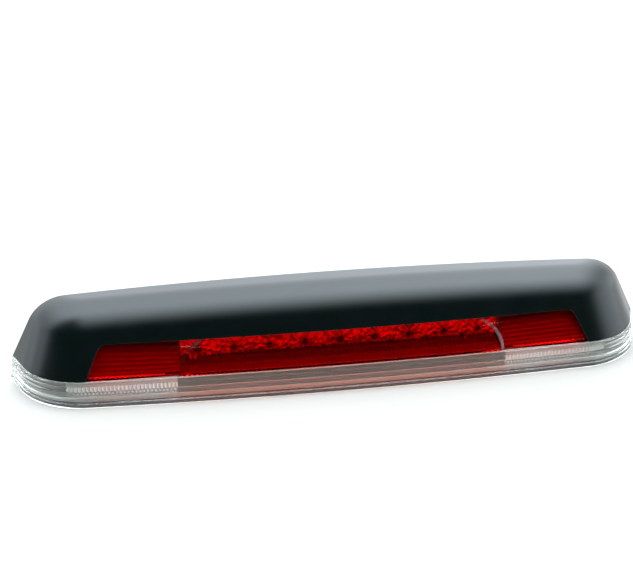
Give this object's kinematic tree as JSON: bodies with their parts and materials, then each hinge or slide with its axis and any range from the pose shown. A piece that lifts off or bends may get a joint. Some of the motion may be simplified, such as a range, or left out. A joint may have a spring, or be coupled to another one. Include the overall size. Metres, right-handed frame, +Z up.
{
  "type": "third brake light",
  "caption": "High-mounted brake light for a pickup cab: black hood, red window with an LED strip, and a clear wrap-round lower lens for the cargo lamps with twist-out bulb sockets.",
  "frame": {"origin": "midpoint between the two mounting studs, on the plane of the compressed gasket where the lamp meets the cab", "axes": "+X to the lamp's right as a following driver sees it, -Y rearwards out of the lens, +Y into the cab along the studs, +Z up"},
  "size_m": [0.4384, 0.0852, 0.0632],
  "materials": {
    "hood_plastic": "satin black, fine moulded grain",
    "housing_plastic": "black, moulded, lightly textured",
    "red_lens": "red tinted clear moulding, polished",
    "clear_lens": "clear colourless moulding, polished",
    "metallised": "vacuum metallised, bright",
    "board": "green solder mask",
    "led": "pale package with a clear dome",
    "component": "black moulded body",
    "connector_plastic": "dark grey nylon",
    "steel": "zinc plated",
    "brass": "tinned brass, thin",
    "bulb_glass": "clear, thin",
    "socket_plastic": "dark grey, glass filled",
    "seal_rubber": "soft, matt",
    "foam": "closed-cell foam, matt",
    "wire_a": "wire covering, semi-matt",
    "sleeve": "woven tape sleeve",
    "lock_plastic": "amber nylon"
  },
  "bodies": {
    "lamp": {"hood": "hood_plastic", "lens_clear": "clear_lens", "lens_red": "red_lens", "red_optic_left": "red_lens", "red_optic_right": "red_lens", "brake_reflector": "metallised", "led_board": "board", "leds": "led", "board_resistors": "component", "board_driver": "component", "board_header": "connector_plastic", "board_screws": "steel", "back_housing": "housing_plastic", "gasket": "foam", "cargo_reflector_left": "metallised", "cargo_reflector_right": "metallised", "reflector_screws_left": "steel", "reflector_screws_right": "steel", "cargo_optic_left": "clear_lens", "cargo_optic_right": "clear_lens", "housing_screws": "steel", "studs": "steel", "vent_cap": "seal_rubber", "cable_grommet": "seal_rubber", "wires_left": "wire_a", "wires_board": "wire_a", "wires_right": "wire_a", "harness_sleeve": "sleeve", "connector_plug": "connector_plastic", "connector_terminals": "brass"},
    "left_socket": {"socket_left": "socket_plastic", "socket_seal_left": "seal_rubber", "bulb_left": "bulb_glass", "contacts_left": "brass"},
    "right_socket": {"socket_right": "socket_plastic", "socket_seal_right": "seal_rubber", "bulb_right": "bulb_glass", "contacts_right": "brass"},
    "terminal_lock": {"terminal_lock": "lock_plastic"}
  },
  "joints": [
    {"name": "left_socket_twist", "type": "hinge", "parent": "lamp", "child": "left_socket", "pos_m": [-0.143, 0, -0.0045], "axis": [0, 1, 0], "range_deg": [0, 45]},
    {"name": "right_socket_twist", "type": "hinge", "parent": "lamp", "child": "right_socket", "pos_m": [0.143, 0, -0.0045], "axis": [0, 1, 0], "range_deg": [0, 45]},
    {"name": "terminal_lock_slide", "type": "slide", "parent": "lamp", "child": "terminal_lock", "axis": [0, -1, 0], "range_m": [0, 0.0015]}
  ]
}
